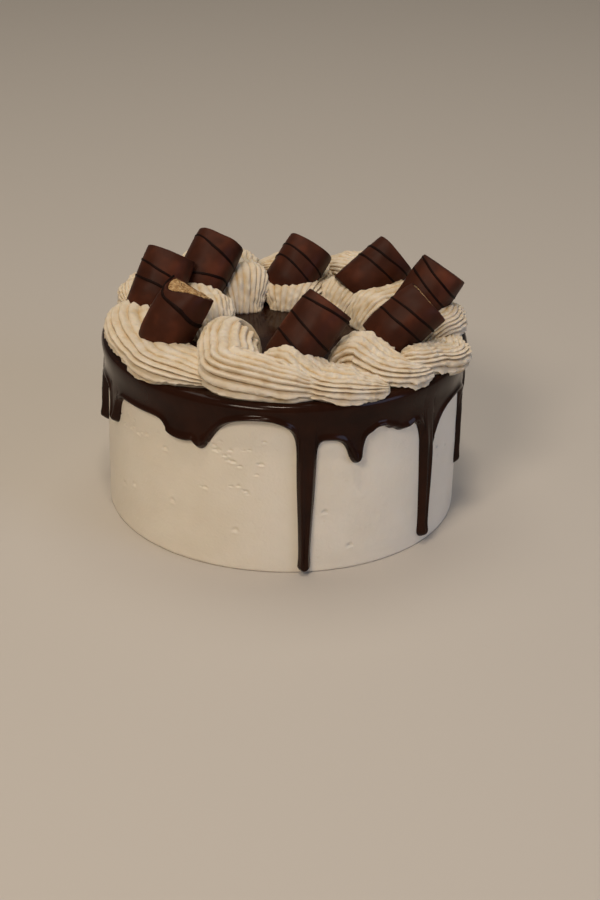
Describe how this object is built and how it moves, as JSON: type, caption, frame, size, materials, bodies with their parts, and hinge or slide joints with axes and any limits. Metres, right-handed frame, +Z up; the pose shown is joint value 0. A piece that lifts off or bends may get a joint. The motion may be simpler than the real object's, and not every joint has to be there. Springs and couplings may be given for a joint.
{
  "type": "chocolate hazelnut cake",
  "caption": "Round frosted cake with chocolate ganache dripping down its side, a wreath of piped cream swirls on top and chocolate-coated wafer pieces set in the cream.",
  "frame": {"origin": "centre of the round underside of the cake, on the surface it stands on", "axes": "+Z up through the middle of the cake, -Y towards the front with the two long drips, +X to the right as seen from the front"},
  "size_m": [0.1716, 0.1713, 0.1227],
  "materials": {
    "frosting": "smooth pale coffee-cream frosting with small pits",
    "ganache": "glossy dark chocolate ganache",
    "cream": "soft satin whipped hazelnut cream with fine ridges",
    "chocolate": "satin milk chocolate coat with darker drizzle",
    "wafer": "crisp golden wafer and pale filling, broken surface"
  },
  "bodies": {
    "root": {"cake_body": "frosting", "ganache": "ganache", "cream_swirl_01": "cream", "cream_swirl_02": "cream", "cream_swirl_03": "cream", "cream_swirl_04": "cream", "cream_swirl_05": "cream", "cream_swirl_06": "cream", "cream_swirl_07": "cream", "cream_swirl_08": "cream", "cream_swirl_09": "cream", "cream_swirl_10": "cream", "cream_swirl_11": "cream", "wafer_piece_1": "chocolate", "wafer_piece_2": "chocolate", "wafer_piece_3": "chocolate", "wafer_piece_4": "chocolate", "wafer_piece_5": "chocolate", "wafer_piece_6": "chocolate", "wafer_piece_7": "chocolate", "wafer_piece_8": "chocolate", "wafer_core_3": "wafer", "wafer_core_4": "wafer", "wafer_core_7": "wafer"}
  },
  "joints": []
}
